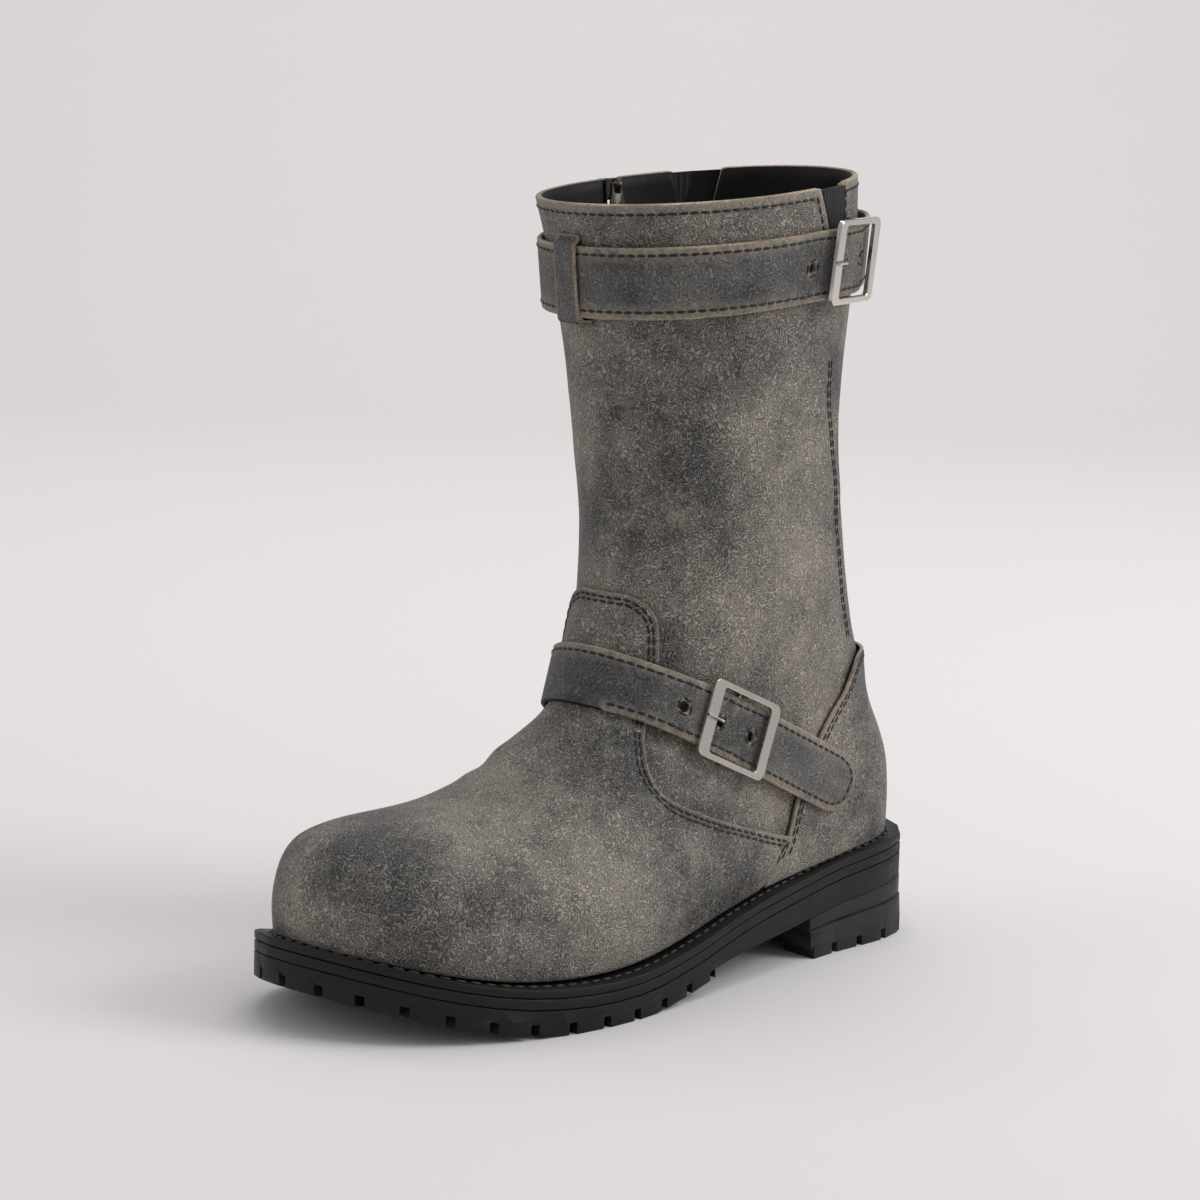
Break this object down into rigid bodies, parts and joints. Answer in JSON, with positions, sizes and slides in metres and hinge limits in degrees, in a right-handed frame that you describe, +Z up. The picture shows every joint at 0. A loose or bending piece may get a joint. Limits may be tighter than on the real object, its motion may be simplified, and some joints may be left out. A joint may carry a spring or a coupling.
{
  "type": "engineer boot",
  "caption": "Left pull-on leather engineer boot with a lugged rubber sole, collar and ankle straps, and an inner side zip.",
  "frame": {"origin": "centre of the bounding box on the floor that the boot stands on", "axes": "+Z up, toe toward -Y, the outer side of this left boot toward +X"},
  "size_m": [0.1258, 0.313, 0.3093],
  "materials": {
    "grey_leather": "distressed",
    "grey_leather_overlay": "distressed",
    "grey_leather_strap": "distressed",
    "black_rubber": "matt",
    "black_welt": "satin",
    "black_elastic": "ribbed",
    "brushed_nickel": "brushed",
    "dark_zip_metal": "satin",
    "insole_foam": "matt"
  },
  "bodies": {
    "boot": {"upper": "grey_leather", "vamp": "grey_leather_overlay", "counter": "grey_leather_overlay", "welt": "black_welt", "midsole": "black_rubber", "insole": "insole_foam", "outsole": "black_rubber", "heel": "black_rubber", "collar_strap": "grey_leather_strap", "ankle_strap": "grey_leather_strap", "collar_buckle": "brushed_nickel", "collar_prong": "brushed_nickel", "ankle_buckle": "brushed_nickel", "ankle_prong": "brushed_nickel", "collar_keeper": "grey_leather_strap", "gore_outer": "black_elastic", "gore_inner": "black_elastic", "zip_chain": "dark_zip_metal", "zip_slider": "dark_zip_metal"},
    "zip_pull": {"zip_pull": "dark_zip_metal"}
  },
  "joints": [
    {"name": "zip_pull_swing", "type": "hinge", "parent": "boot", "child": "zip_pull", "pos_m": [-0.0571, 0.04962, 0.29968], "axis": [-0.0793, -0.996, -0.042], "range_deg": [-4, 165]}
  ]
}
